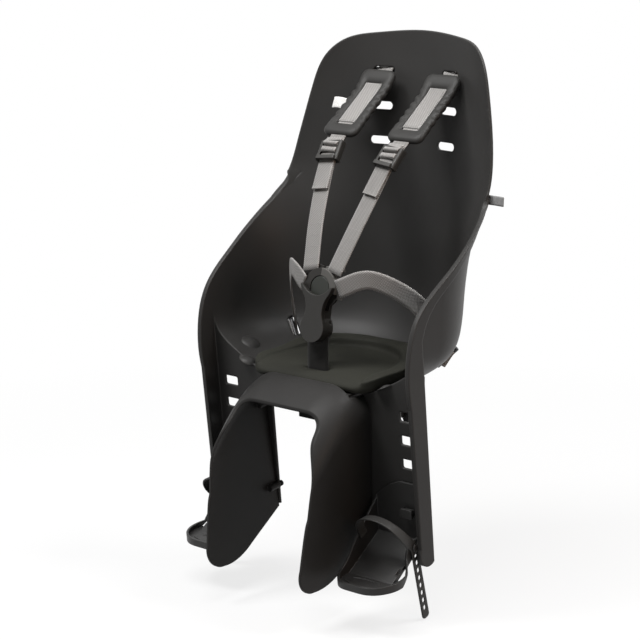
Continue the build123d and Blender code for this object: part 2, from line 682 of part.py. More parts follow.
# Catch that is pushed into a window to hold the footrest at a height
with BuildPart() as footrest_catch_right:
    with BuildSketch(CALF_FACE.offset(WALL + 2 * GAP)):
        with Locations((WINDOW_X, CATCH_AT)):
            Rectangle(CATCH_WIDE, CATCH_TALL)
    extrude(amount=WALL + CATCH_TRAVEL + 2)
    with BuildSketch(CALF_FACE.offset(2 * WALL + 2 * GAP + CATCH_TRAVEL + 1)):
        with Locations((WINDOW_X, CATCH_AT)):
            RectangleRounded(CATCH_WIDE + 6, CATCH_TALL + 5, 3)
    extrude(amount=3.5)
footrest_catch_right.part.label = "footrest_catch_right"
export_step(footrest_catch_right.part, "parts/footrest_catch_right.step")

with BuildPart() as footrest_catch_left:
    mirror(footrest_catch_right.part, about=Plane.YZ)
footrest_catch_left.part.label = "footrest_catch_left"
export_step(footrest_catch_left.part, "parts/footrest_catch_left.step")

# Stud on the outer wall of the footrest that holds the foot strap
with BuildPart() as strap_stud_right:
    with BuildSketch(LEG_SIDE.offset(FOOT_OUT)):
        with Locations(STUD_AT):
            Circle(3.5)
    extrude(amount=4.2)
    with BuildSketch(LEG_SIDE.offset(FOOT_OUT + 4.2)):
        with Locations(STUD_AT):
            Circle(6)
    extrude(amount=2.2)
    fillet(strap_stud_right.faces().sort_by(Axis.X)[-1].edges(), 1)
strap_stud_right.part.label = "strap_stud_right"
export_step(strap_stud_right.part, "parts/strap_stud_right.step")

with BuildPart() as strap_stud_left:
    mirror(strap_stud_right.part, about=Plane.YZ)
strap_stud_left.part.label = "strap_stud_left"
export_step(strap_stud_left.part, "parts/strap_stud_left.step")

# Rubber strap over the foot with a row of holes in its hanging end
with BuildPart() as foot_strap_right:
    foot_path = [leg_point(*at) for at in FOOT_STRAP_PATH]
    loft(ribbon(foot_path, FOOT_STRAP_WIDE, FOOT_STRAP_THICK, LEG_DEPTH, LEG_DEPTH))
    along = (sin(radians(FOOT_STRAP_TILT)), -cos(radians(FOOT_STRAP_TILT)))
    with BuildSketch(LEG_SIDE.offset(FOOT_STRAP_PATH[-1][0] - FOOT_STRAP_THICK / 2)):
        middle = FOOT_STRAP_TAIL / 2 - 6
        centre = (STUD_AT[0] + middle * along[0], STUD_AT[1] + middle * along[1])
        with Locations(Location(centre, FOOT_STRAP_TILT)):
            RectangleRounded(FOOT_STRAP_WIDE, FOOT_STRAP_TAIL + 12, 6)
    extrude(amount=FOOT_STRAP_THICK)
    with BuildSketch(LEG_SIDE.offset(FOOT_OUT - 8)):
        for n in range(1, 9):
            with Locations((STUD_AT[0] + 13 * n * along[0], STUD_AT[1] + 13 * n * along[1])):
                SlotOverall(8, 5, 90 + FOOT_STRAP_TILT)
        with Locations(STUD_AT):
            Circle(3.5 + GAP)
    extrude(amount=16, mode=Mode.SUBTRACT)
foot_strap_right.part.label = "foot_strap_right"
export_step(foot_strap_right.part, "parts/foot_strap_right.step")

with BuildPart() as foot_strap_left:
    mirror(foot_strap_right.part, about=Plane.YZ)
foot_strap_left.part.label = "foot_strap_left"
export_step(foot_strap_left.part, "parts/foot_strap_left.step")

# Carrier base: a block under the floor that rests on the carrier rails
with BuildPart() as carrier_base:
    with BuildSketch(Plane.XY):
        with Locations((0, JAW_Y)):
            RectangleRounded(2 * BASE_HALF, 70, 6)
    extrude(amount=BASE_TALL)
    with BuildSketch(Plane.XY):
        with Locations((0, (BASE_FRONT + JAW_Y) / 2)):
            RectangleRounded(96, JAW_Y - BASE_FRONT, 6)
    extrude(amount=FLOOR_UNDER - 0.3)
    with BuildSketch(Plane.YZ):
        with Locations((JAW_Y, JAW_TALL / 2)):
            Rectangle(JAW_WIDE + 2 * GAP, JAW_TALL + 2 * GAP)
    extrude(amount=200, both=True, mode=Mode.SUBTRACT)
    with BuildSketch(Plane.XY):
        with Locations((0, JAW_Y)):
            Rectangle(14, JAW_WIDE + 4)
    extrude(amount=BASE_TALL)
    with BuildSketch(Plane.YZ):
        with Locations((JAW_Y, SPINDLE_Z)):
            Circle(SPINDLE_D / 2 + GAP)
    extrude(amount=200, both=True, mode=Mode.SUBTRACT)
    with BuildSketch(Plane.XY.offset(20)):
        with Locations(*BASE_SCREWS):
            Circle(SCREW_D / 2 + 0.1)
    extrude(amount=60, mode=Mode.SUBTRACT)
carrier_base.part.label = "carrier_base"
export_step(carrier_base.part, "parts/carrier_base.step")

# Jaw that slides in the base and closes round a rail from the outside
with BuildPart() as clamp_jaw_right:
    with BuildSketch(Plane.XZ.offset(-JAW_Y)):
        with BuildLine():
            Polyline(
                (16, GAP), (RAIL_X, GAP), (RAIL_X, -RAIL_R - 13), (JAW_OUT, -RAIL_R - 13),
                (JAW_OUT, JAW_TALL - GAP), (16, JAW_TALL - GAP), close=True,
            )
        make_face()
    extrude(amount=JAW_WIDE / 2, both=True)
    with BuildSketch(Plane.XZ.offset(-JAW_Y)):
        with Locations((RAIL_X, RAIL_Z)):
            Circle(RAIL_R)
        with Locations((RAIL_X - 10, RAIL_Z)):
            Rectangle(20, 2 * RAIL_R)
    extrude(amount=JAW_WIDE, both=True, mode=Mode.SUBTRACT)
    with BuildSketch(Plane.YZ):
        with Locations((JAW_Y, SPINDLE_Z)):
            Circle(SPINDLE_D / 2 + GAP)
    extrude(amount=200, mode=Mode.SUBTRACT)
clamp_jaw_right.part.label = "clamp_jaw_right"
export_step(clamp_jaw_right.part, "parts/clamp_jaw_right.step")

with BuildPart() as clamp_jaw_left:
    mirror(clamp_jaw_right.part, about=Plane.YZ)
clamp_jaw_left.part.label = "clamp_jaw_left"
export_step(clamp_jaw_left.part, "parts/clamp_jaw_left.step")

with BuildPart() as clamp_spindle:
    with BuildSketch(Plane.YZ.offset(-KNOB_AT - 12)):
        with Locations((JAW_Y, SPINDLE_Z)):
            Circle(SPINDLE_D / 2)
    extrude(amount=KNOB_AT + 12 + JAW_OUT + 4)
    # Collars on both sides of the base web
    for start in (7 + GAP, -7 - GAP - 4):
        with BuildSketch(Plane.YZ.offset(start)):
            with Locations((JAW_Y, SPINDLE_Z)):
                Circle(SPINDLE_D / 2 + 3)
        extrude(amount=4)
clamp_spindle.part.label = "clamp_spindle"
export_step(clamp_spindle.part, "parts/clamp_spindle.step")

with BuildPart() as clamp_knob:
    with BuildSketch(Plane.YZ.offset(-KNOB_AT - 18)):
        with Locations((JAW_Y, SPINDLE_Z)):
            Circle(15)
            with PolarLocations(15, 6):
                Circle(4)
    extrude(amount=18)
    fillet(clamp_knob.faces().sort_by(Axis.X)[0].edges(), 1.5)
    with BuildSketch(Plane.YZ.offset(-KNOB_AT - 12)):
        with Locations((JAW_Y, SPINDLE_Z)):
            Circle(SPINDLE_D / 2)
    extrude(amount=40, mode=Mode.SUBTRACT)
clamp_knob.part.label = "clamp_knob"
export_step(clamp_knob.part, "parts/clamp_knob.step")

with BuildPart() as base_screws:
    with BuildSketch(Plane.XY.offset(FLOOR_UNDER + WALL - HEAD_H)):
        with Locations(*BASE_SCREWS):
            Circle(HEAD_D / 2)
    extrude(amount=HEAD_H - 0.2)
    with BuildSketch(Plane.XY.offset(24)):
        with Locations(*BASE_SCREWS):
            Circle(SCREW_D / 2)
    extrude(amount=FLOOR_UNDER + WALL - HEAD_H - 24)
base_screws.part.label = "base_screws"
export_step(base_screws.part, "parts/base_screws.step")

with BuildPart() as guard_screws:
    with BuildSketch(CALF_FACE.offset(-2.5)):
        with Locations(*[(side * guard_half(w) - side * 8, w) for side in (-1, 1) for w in GUARD_SCREWS]):
            Circle(4.5)
    extrude(amount=2.5)
    with BuildSketch(CALF_FACE):
        with Locations(*[(side * guard_half(w) - side * 8, w) for side in (-1, 1) for w in GUARD_SCREWS]):
            Circle(SCREW_D / 2 - 0.1)
    extrude(amount=20)
guard_screws.part.label = "guard_screws"
export_step(guard_screws.part, "parts/guard_screws.step")

# Plain cloth tags without print
with BuildPart() as pad_tag:
    with BuildSketch(Plane(PAD_PLANE.origin, x_dir=(1, 0, 0), z_dir=PAD_PLANE.y_dir).offset(-0.4)):
        with Locations((-2 * PAD_PLANE.origin.X - 26 - 14.2, 0)):
            RectangleRounded(28, 18, 1)
    extrude(amount=0.8)
pad_tag.part.label = "pad_tag"
export_step(pad_tag.part, "parts/pad_tag.step")

with BuildPart() as rim_tag:
    with BuildSketch(Plane((204.4, 62, 336), x_dir=(1, 0, 0), z_dir=(0, -1, 0))):
        RectangleRounded(26, 15, 2)
    extrude(amount=1.6)
rim_tag.part.label = "rim_tag"
export_step(rim_tag.part, "parts/rim_tag.step")
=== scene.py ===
# %% [markdown]
# # A child's bicycle seat in Blender
# The seat is a moulded bucket with two leg channels, a foam cushion, a harness of grey webbing and
# two footrests. The rigid pieces arrive as solids that are already true in form. This script gives
# them their surfaces and makes the soft pieces: webbing, shoulder pads, cushion, rubber straps and
# tags.

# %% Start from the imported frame
import json
import math
import bpy
import bmesh
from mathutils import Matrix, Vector


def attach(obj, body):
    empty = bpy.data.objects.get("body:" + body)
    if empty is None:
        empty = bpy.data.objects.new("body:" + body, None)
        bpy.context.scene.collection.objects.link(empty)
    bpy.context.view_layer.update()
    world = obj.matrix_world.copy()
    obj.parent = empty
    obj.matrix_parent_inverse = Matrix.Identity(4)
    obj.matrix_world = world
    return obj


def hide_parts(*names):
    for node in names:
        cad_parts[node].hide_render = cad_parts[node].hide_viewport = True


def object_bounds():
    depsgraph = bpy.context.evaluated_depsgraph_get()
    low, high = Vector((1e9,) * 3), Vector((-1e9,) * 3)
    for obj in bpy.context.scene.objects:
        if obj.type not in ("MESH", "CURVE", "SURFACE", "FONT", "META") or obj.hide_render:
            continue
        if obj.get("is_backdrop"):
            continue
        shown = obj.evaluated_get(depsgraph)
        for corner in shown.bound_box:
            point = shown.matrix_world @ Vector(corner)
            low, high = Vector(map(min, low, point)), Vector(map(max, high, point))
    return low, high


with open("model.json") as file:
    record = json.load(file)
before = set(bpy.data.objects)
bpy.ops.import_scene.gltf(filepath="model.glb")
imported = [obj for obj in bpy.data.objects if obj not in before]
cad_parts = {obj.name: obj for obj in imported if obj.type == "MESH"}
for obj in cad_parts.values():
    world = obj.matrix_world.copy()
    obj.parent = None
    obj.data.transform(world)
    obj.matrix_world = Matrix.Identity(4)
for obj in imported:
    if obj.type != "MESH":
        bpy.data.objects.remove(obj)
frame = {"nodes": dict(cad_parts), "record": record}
solids = frame["nodes"]
boxes = {"cad": [list(corner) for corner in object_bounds()]}
scene = bpy.context.scene
MM = 0.001
SIDES = (("right", 1), ("left", -1))
print("solids in the frame:", len(solids))

# %% [markdown]
# ## A grain for the plastics
# Moulded plastic is never perfectly even: the tool leaves a fine grain, and the tone drifts a
# little over a large face. A node group holds that effect once, and each plastic sets its own
# grain size. A group gives out values only; the shader stays in each material.

# %% Node group for moulded grain
NOISE_SPAN = (0.3, 0.7)


def value_group(name, inputs, outputs):
    group = bpy.data.node_groups.new(name, "ShaderNodeTree")
    for label, kind, start in inputs:
        socket = group.interface.new_socket(label, in_out="INPUT", socket_type=kind)
        if start is not None:
            socket.default_value = start
    for label in outputs:
        group.interface.new_socket(label, in_out="OUTPUT", socket_type="NodeSocketFloat")
    return group, group.nodes.new("NodeGroupInput"), group.nodes.new("NodeGroupOutput")


def mapped(tree, source, span, result):
    # Stretches the values in span to those in result, and holds them there outside it
    node = tree.nodes.new("ShaderNodeMapRange")
    for label, value in zip(("From Min", "From Max", "To Min", "To Max"), (*span, *result)):
        node.inputs[label].default_value = value
    tree.links.new(source, node.inputs["Value"])
    return node.outputs["Result"]


def calc(tree, operation, *values):
    # A Math node whose inputs are numbers or the outputs of other nodes
    node = tree.nodes.new("ShaderNodeMath")
    node.operation = operation
    for socket, value in zip(node.inputs, values):
        if isinstance(value, float):
            socket.default_value = value
        else:
            tree.links.new(value, socket)
    return node.outputs[0]


grain, grain_in, grain_out = value_group(
    "moulded_grain",
    (("Vector", "NodeSocketVector", None), ("Grain", "NodeSocketFloat", 900.0)),
    ("Height", "Tone", "Rough"),
)
fine = grain.nodes.new("ShaderNodeTexNoise")
broad = grain.nodes.new("ShaderNodeTexNoise")
fine.inputs["Detail"].default_value = 3.0
broad.inputs["Scale"].default_value = 7.0
for texture in (fine, broad):
    grain.links.new(grain_in.outputs["Vector"], texture.inputs["Vector"])
grain.links.new(grain_in.outputs["Grain"], fine.inputs["Scale"])
drift = mapped(grain, broad.outputs[0], NOISE_SPAN, (0.88, 1.12))
rough_drift = mapped(grain, fine.outputs[0], NOISE_SPAN, (-0.05, 0.05))
grain.links.new(fine.outputs[0], grain_out.inputs["Height"])
grain.links.new(drift, grain_out.inputs["Tone"])
grain.links.new(rough_drift, grain_out.inputs["Rough"])
print("surface group:", grain.name)

# %% [markdown]
# ## A weave for the webbing
# Webbing is a plain weave. This group turns the strap's own UV into rows of small bumps: one sine
# wave runs across the strap, one along it, and their product is high where a thread lies on top.
# The tone follows that height: painted shade in the hollows between threads, painted light on top.
# The two borders of a strap are a little lighter.

# %% Node group for woven rows
BORDER_FROM = 0.41
BORDER_TO = 0.45
weave, weave_in, weave_out = value_group(
    "woven_rows",
    (("UV", "NodeSocketVector", None), ("Rows", "NodeSocketFloat", 17.0)),
    ("Height", "Tone"),
)
split = weave.nodes.new("ShaderNodeSeparateXYZ")
weave.links.new(weave_in.outputs["UV"], split.inputs[0])
turns = calc(weave, "MULTIPLY", weave_in.outputs["Rows"], 2 * math.pi)
across = calc(weave, "SINE", calc(weave, "MULTIPLY", split.outputs["X"], turns))
along = calc(weave, "SINE", calc(weave, "MULTIPLY", split.outputs["Y"], turns))
height = calc(weave, "MULTIPLY_ADD", calc(weave, "MULTIPLY", across, along), 0.5, 0.5)
speck = weave.nodes.new("ShaderNodeTexNoise")
speck.inputs["Scale"].default_value = 40.0
weave.links.new(weave_in.outputs["UV"], speck.inputs["Vector"])
# Darker in the hollows between threads, lighter on their tops: painted shade and light of the weave
weave_hollow_shade = mapped(weave, height, NOISE_SPAN, (0.6, 1.16))
speck_tone = mapped(weave, speck.outputs[0], NOISE_SPAN, (0.86, 1.16))
from_middle = calc(weave, "ABSOLUTE", calc(weave, "SUBTRACT", split.outputs["X"], 0.5))
border_tone = mapped(weave, from_middle, (BORDER_FROM, BORDER_TO), (1.0, 1.2))
tone = calc(weave, "MULTIPLY", calc(weave, "MULTIPLY", weave_hollow_shade, speck_tone), border_tone)
weave.links.new(height, weave_out.inputs["Height"])
weave.links.new(tone, weave_out.inputs["Tone"])
print("surface group:", weave.name)

# %% [markdown]
# ## Building blocks for materials
# The record lists the finishes and their colours, so the materials take their colours from there.
# The real mouldings have small radii that catch the light. A Bevel node rounds the edges in the
# shader, and where its normal turns away from the face, the tone is lighter: partly rubbed wear,
# partly a painted highlight along the edge.

# %% Functions that make a moulded or a woven material
finish_colour = {row["slot"]: row["base_color"] for row in frame["record"]["materials"]}
materials = {}


def base_material(slot):
    material = bpy.data.materials.new(slot)
    material.use_nodes = True
    tree = material.node_tree
    materials[slot] = material
    return tree, tree.nodes["Principled BSDF"], tree.nodes.new("ShaderNodeTexCoord")


def effect_node(tree, group):
    node = tree.nodes.new("ShaderNodeGroup")
    node.node_tree = group
    return node


def tinted(tree, shader, colour, tone, shade):
    # Of the Mix node's many sockets, inputs 6 and 7 and output 2 are the ones for colours
    mix = tree.nodes.new("ShaderNodeMix")
    mix.data_type = "RGBA"
    mix.blend_type = "MULTIPLY"
    mix.inputs["Factor"].default_value = 1.0
    mix.inputs[6].default_value = (*(shade * part for part in colour), 1)
    tree.links.new(tone, mix.inputs[7])
    tree.links.new(mix.outputs[2], shader.inputs["Base Color"])


def raised(tree, shader, height, strength, distance, rounded=None):
    bump = tree.nodes.new("ShaderNodeBump")
    bump.inputs["Strength"].default_value = strength
    bump.inputs["Distance"].default_value = distance
    tree.links.new(height, bump.inputs["Height"])
    if rounded:
        tree.links.new(rounded, bump.inputs["Normal"])
    tree.links.new(bump.outputs[0], shader.inputs["Normal"])


def rounded_edges(tree, radius, tone):
    # Gives the rounded normal, and the tone with its edges lighter: rubbed wear and a painted
    # highlight
    bevel = tree.nodes.new("ShaderNodeBevel")
    bevel.samples = 8
    bevel.inputs["Radius"].default_value = radius
    face = tree.nodes.new("ShaderNodeNewGeometry")
    likeness = tree.nodes.new("ShaderNodeVectorMath")
    likeness.operation = "DOT_PRODUCT"
    tree.links.new(bevel.outputs[0], likeness.inputs[0])
    tree.links.new(face.outputs["Normal"], likeness.inputs[1])
    # Lighter where the bevel's normal turns away: rubbed wear and a painted highlight on the edge
    rubbed_and_highlit = mapped(tree, likeness.outputs["Value"], (0.98, 0.75), (1.0, 1.9))
    return bevel.outputs[0], calc(tree, "MULTIPLY", tone, rubbed_and_highlit)


def moulded(slot, rough, grain_size, depth, edge, shade, gloss):
    tree, shader, place = base_material(slot)
    effect = effect_node(tree, grain)
    effect.inputs["Grain"].default_value = grain_size
    tree.links.new(place.outputs["Object"], effect.inputs["Vector"])
    rounded, tone = None, effect.outputs["Tone"]
    if edge:
        # The edges get lighter here: rubbed wear and a painted highlight
        rounded, tone = rounded_edges(tree, edge, tone)
    tinted(tree, shader, finish_colour[slot], tone, shade)
    worn = calc(tree, "ADD", rough, effect.outputs["Rough"])
    tree.links.new(worn, shader.inputs["Roughness"])
    shader.inputs["Specular IOR Level"].default_value = gloss
    shader.inputs["Metallic"].default_value = 1.0 if slot == "steel" else 0.0
    raised(tree, shader, effect.outputs["Height"], 0.35, depth, rounded)


def woven(slot, rows, depth, shade):
    tree, shader, place = base_material(slot)
    effect = effect_node(tree, weave)
    effect.inputs["Rows"].default_value = rows
    tree.links.new(place.outputs["UV"], effect.inputs["UV"])
    tinted(tree, shader, finish_colour[slot], effect.outputs["Tone"], shade)
    shader.inputs["Roughness"].default_value = 0.85
    shader.inputs["Specular IOR Level"].default_value = 0.2
    shader.inputs["Sheen Weight"].default_value = 0.08
    raised(tree, shader, effect.outputs["Height"], 0.5, depth)


print("finishes in the record:", len(finish_colour))

# %% [markdown]
# ## One material for each finish
# Each row below is one finish. The shade darkens the record's colour, and the gloss is kept low,
# because the white studio would otherwise wash out the black plastic. The rigid solids then take
# the material that the record names for them.

# %% Materials by finish
# Roughness, grains to a metre, depth of grain, edge radius, shade, gloss
MOULDED = {
    "shell_plastic": (0.42, 1500.0, 0.0003, 0.0038, 0.95, 0.16),
    "guard_plastic": (0.46, 1500.0, 0.0003, 0.0030, 0.75, 0.12),
    "foot_plastic": (0.40, 1500.0, 0.0003, 0.0018, 0.60, 0.30),
    "base_plastic": (0.55, 1200.0, 0.0003, 0.0012, 0.60, 0.16),
    "fitting_plastic": (0.42, 2000.0, 0.0002, 0.0010, 0.48, 0.25),
    "tongue_plastic": (0.40, 2000.0, 0.0002, 0.0018, 0.60, 0.16),
    "buckle_plastic": (0.36, 2000.0, 0.0002, 0.0018, 0.38, 0.30),
    "button_plastic": (0.34, 2000.0, 0.0002, 0.0010, 0.70, 0.30),
    "pad_foam": (0.70, 1100.0, 0.0004, 0.0, 0.46, 0.12),
    "pad_fabric": (0.50, 1300.0, 0.0003, 0.0, 0.24, 0.20),
    "strap_rubber": (0.50, 1500.0, 0.0002, 0.0, 0.60, 0.25),
    "steel": (0.42, 1800.0, 0.0001, 0.0005, 0.07, 0.16),
}
# Rows of weave in one strap width, depth of weave, shade
WOVEN = {
    "webbing": (9.0, 0.0007, 0.88),
    "crotch_webbing": (22.0, 0.0004, 0.30),
    "tag_cloth": (26.0, 0.0002, 1.0),
    "rim_tag_cloth": (26.0, 0.0002, 1.0),
}
for slot, values in MOULDED.items():
    moulded(slot, *values)
for slot, values in WOVEN.items():
    woven(slot, *values)
for row in frame["record"]["subparts"]:
    solid = solids[row["node"]]
    solid.data.materials.clear()
    solid.data.materials.append(materials[row["material_slot"]])
print("materials:", len(materials))

# %% [markdown]
# ## Pieces
# Every piece made here is a mesh with one material. It rides on one body, so it moves with it, and
# it hides the solid that it stands for, where there is one. The left pieces mostly mirror the right
# ones.


# %% Helpers for pieces
def settle(made, slot, body, replaced=()):
    made.data.materials.clear()
    made.data.materials.append(materials[slot])
    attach(made, body)
    if replaced:
        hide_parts(*replaced)
    return made


def piece(name, verts, faces, slot, body, replaced=(), uvs=None):
    mesh = bpy.data.meshes.new(name)
    mesh.from_pydata([tuple(v) for v in verts], [], faces)
    if uvs:
        layer = mesh.uv_layers.new(name="UVMap")
        for loop in mesh.loops:
            layer.data[loop.index].uv = uvs[loop.vertex_index]
    turned = bmesh.new()
    turned.from_mesh(mesh)
    bmesh.ops.recalc_face_normals(turned, faces=turned.faces)
    turned.to_mesh(mesh)
    turned.free()
    mesh.shade_smooth()
    made = bpy.data.objects.new(name, mesh)
    scene.collection.objects.link(made)
    return settle(made, slot, body, replaced)


def mirrored(points):
    return [(-x, y, z) for x, y, z in points]


def on_side(points, sign):
    points = [tuple(p) for p in points]
    return points if sign > 0 else mirrored(points)


# %% [markdown]
# ## Ribbons
# Webbing is a flat woven strap. It is drawn as a ribbon: a thin section carried along a smooth
# line, with a UV that counts strap widths along the way, so the weave has one size on every strap.
# The line comes from the places where the strap is held: its bar, the shoulder pad, the adjuster
# and the buckle.

# %% Helpers for ribbons
WEB_WIDTH = 28.0
WEB_THICK = 1.8
LOOP_RADIUS = 5.2
LINE_STEPS = 8
ACROSS = (1, 0, 0)


def smooth_line(points, steps):
    # Curve through the points, with the same number of steps between each two of them
    points = [Vector(p) for p in points]
    points = [points[0] * 2 - points[1], *points, points[-1] * 2 - points[-2]]
    line = []
    for a, b, c, d in zip(points, points[1:], points[2:], points[3:]):
        bend = 2 * a - 5 * b + 4 * c - d
        swing = 3 * b - a - 3 * c + d
        for n in range(steps):
            t = n / steps
            line.append(0.5 * (2 * b + (c - a) * t + bend * t * t + swing * t ** 3))
    return line + [points[-2]]


def line_frames(line, across_start, across_end):
    # At each point: place, direction across the strap, direction out of its face
    frames = []
    last = len(line) - 1
    for n, place in enumerate(line):
        way = (line[min(n + 1, last)] - line[max(n - 1, 0)]).normalized()
        side = Vector(across_start).lerp(Vector(across_end), n / last)
        side = (side - way * way.dot(side)).normalized()
        frames.append((place, side, way.cross(side)))
    return frames


def ribbon_section(width, thick):
    # Seven points over the top, one at each edge, and seven back below
    half, edge = width / 2, thick / 2
    section = []
    for n in range(7):
        section.append((half * (n / 3 - 1) * (0.985 if n in (0, 6) else 1.0), edge))
    section.append((half, 0.0))
    section += [(x, -y) for x, y in reversed(section[:7])]
    section.append((-half, 0.0))
    return section


def ribbon(name, frames, width, thick, slot, replaced=(), body="seat"):
    section = ribbon_section(width, thick)
    count = len(section)
    verts, faces, uvs = [], [], []
    run = 0.0
    for n, (place, side, out) in enumerate(frames):
        run += (place - frames[n - 1][0]).length if n else 0.0
        for x, y in section:
            verts.append((place + side * x + out * y) * MM)
            uvs.append((x / width + 0.5, run / width))
    for n in range(len(frames) - 1):
        for k in range(count):
            a, b = n * count + k, n * count + (k + 1) % count
            faces.append((a, b, b + count, a + count))
    faces.append(tuple(range(count - 1, -1, -1)))
    faces.append(tuple(range(len(verts) - count, len(verts))))
    return piece(name, verts, faces, slot, body, replaced, uvs)


def round_bar(centre, front, up, radius):
    # Part of a loop round a bar, from below the front, behind it and back over the top
    turn = [math.radians(-40 - 280 * n / 8) for n in range(9)]
    centre, front, up = Vector(centre), Vector(front), Vector(up)
    return [
        tuple(centre + front * radius * math.cos(a) + up * radius * math.sin(a)) for a in turn
    ]


print("points in a strap's section:", len(ribbon_section(WEB_WIDTH, WEB_THICK)))

# %% [markdown]
# ## Shoulder straps
# Each shoulder strap starts as a loop round a bar behind the headrest, comes through its slot,
# runs down inside the pad and the adjuster, and ends in the tongue at the buckle. The left strap
# is the right one mirrored.

# %% Shoulder straps
shoulder_run = [
    (64, 133.2, 508.6), (63.8, 128.5, 506.2), (63.2, 119, 498.2), (62.4, 111.6, 491.3),
    (62.4, 91, 475.8), (62.4, 70, 460.1), (62.4, 49, 444.4), (62.4, 28.4, 428.9),
    (57, -6, 396), (49.5, -35, 350), (38, -65, 295), (22.4, -95.0, 230.6),
]
shoulder_loop = round_bar((64, 140.9, 509.6), (-0.216, -0.976, 0), (0, 0, 1), LOOP_RADIUS)
strap_frames = {}
for side, sign in SIDES:
    line = smooth_line(on_side(shoulder_loop + shoulder_run, sign), LINE_STEPS)
    strap_frames[side] = line_frames(line, ACROSS, ACROSS)
    ribbon("shoulder_webbing_" + side, strap_frames[side], WEB_WIDTH, WEB_THICK, "webbing",
           ["shoulder_strap_" + side])
print("shoulder strap points:", len(strap_frames["right"]))

# %% [markdown]
# ## Lap straps and crotch strap
# A lap strap leaves the buckle on edge, turns as it goes round the hip, and loops round a bar
# outside its slot. Its direction across therefore changes from upright to the slot's own. The
# crotch strap comes straight up through the floor and the cushion.

# %% Lap straps and crotch strap
CROTCH_Y = -105.0
CROTCH_WIDTH = 40.0
LAP_SEAT = 4.6
LAP_LEAD = 22
lap_slot = Vector((149, 13.05, 106.4))
lap_out = Vector((0.538, 0.474, -0.697))
lap_up = (0.635, 0.316, 0.705)
lap_bar = lap_slot + lap_out * LAP_SEAT
lap_inside = lap_slot - lap_out * LAP_LEAD
lap_side = lap_out.cross(Vector(lap_up)).normalized()
lap_turn = round_bar(lap_bar, -lap_out, lap_side, LOOP_RADIUS)
lap_runs = {
    "right": [(32, -98.6, 209), (84, -80, 226), (138, -38, 188), lap_inside],
    "left": [(32, -99.4, 210), (60, -89, 226), (86, -67, 220), (114, -34, 176), lap_inside],
}
for side, sign in SIDES:
    line = smooth_line(on_side(lap_runs[side] + lap_turn, sign), LINE_STEPS)
    slot_up = (sign * lap_up[0], lap_up[1], lap_up[2])
    ribbon("lap_webbing_" + side, line_frames(line, (0, 0, 1), slot_up), WEB_WIDTH, WEB_THICK,
           "webbing", ["lap_strap_" + side])
crotch_run = round_bar((0, CROTCH_Y, 55.9), (0, 0, 1), (0, -1, 0), LOOP_RADIUS)
crotch_run += [(0, CROTCH_Y, 64), (0, CROTCH_Y, 95), (0, -104.6, 124), (0, -99.6, 154)]
crotch_frames = line_frames(smooth_line(crotch_run, 6), ACROSS, ACROSS)
ribbon("crotch_webbing_band", crotch_frames, CROTCH_WIDTH, WEB_THICK, "crotch_webbing",
       ["crotch_strap"])
print("lap and crotch straps made")

# %% [markdown]
# ## Shoulder pads
# Each shoulder strap runs through a moulded soft pad: a frame with raised ends, ribs down its long
# sides and a window that shows the webbing. A ring-shaped mesh fits this best. Its section is
# carried round a rounded rectangle, and the ribs come from a wave that lowers the section between
# them. A thin sheet behind the webbing closes the back.

# %% The pad's own frame and outline
PAD_WIDE = 64.0
PAD_LONG = 138.0
PAD_CORNER = 11
PAD_SHIFT = -2.0
PAD_RIBS = 6
PAD_WINDOW = (32.0, 92.0)
PAD_WAY = (0, -0.7998, -0.6003)
PAD_OUT = (0, -0.6003, 0.7998)
PAD_MIDDLE = (62.4, 70, 460.1)
LIFT_FROM = -28
LIFT_RUN = 40
LIFT_HEIGHT = 9
CORNER_POINTS = 7


def rounded_outline(wide, long, radius):
    # Points round a rounded rectangle, with its straight sides divided into short steps
    points = []
    for sx, sy, start in ((1, 1, 0), (-1, 1, 90), (-1, -1, 180), (1, -1, 270)):
        cx, cy = sx * (wide / 2 - radius), sy * (long / 2 - radius)
        for n in range(CORNER_POINTS):
            a = math.radians(start + 90 * n / (CORNER_POINTS - 1))
            points.append((cx + radius * math.cos(a), cy + radius * math.sin(a)))
    full = []
    for n, (x, y) in enumerate(points):
        full.append((x, y))
        nx, ny = points[(n + 1) % len(points)]
        if math.hypot(nx - x, ny - y) > 12:
            parts = 48 if abs(ny - y) > abs(nx - x) else 12
            for k in range(1, parts):
                full.append((x + (nx - x) * k / parts, y + (ny - y) * k / parts))
    return full


def pad_point(sign, x, down, up):
    # From the pad's own frame: x across, down the strap, up out of its face.
    # The upper end lifts a little, clear of the slot.
    middle = Vector((PAD_MIDDLE[0] * sign, *PAD_MIDDLE[1:]))
    clear = max(0.0, LIFT_FROM - down) / LIFT_RUN
    up += LIFT_HEIGHT * clear * clear
    return middle + Vector(ACROSS) * x + Vector(PAD_WAY) * (down + PAD_SHIFT) + Vector(PAD_OUT) * up


print("pad outline points:", len(rounded_outline(PAD_WIDE, PAD_LONG, PAD_CORNER)))

# %% [markdown]
# ## The pad's ribbed ring and its back
# The section below goes from the outer edge, over the top and down into the window. Its first
# number is the share of the way from the outline to the window, its second the height.

# %% Pads as ribbed frames
PAD_SECTION = (
    (0.02, -4.2), (0.0, -2.0), (0.0, 0.8), (0.06, 3.0), (0.2, 4.4), (0.4, 4.9), (0.62, 4.8),
    (0.84, 4.0), (0.96, 2.6), (1.0, 1.2), (1.0, -1.4), (0.96, -4.2),
)
PAD_BACK = (-3.4, -4.6)
PAD_END = 20
RIB_DEPTH = 0.62
RIB_INSET = 0.17
END_RISE = 0.5
SEWN_WIDTH = 31.4
SEWN_THICK = 1.4
SEWN_HEIGHT = 1.7


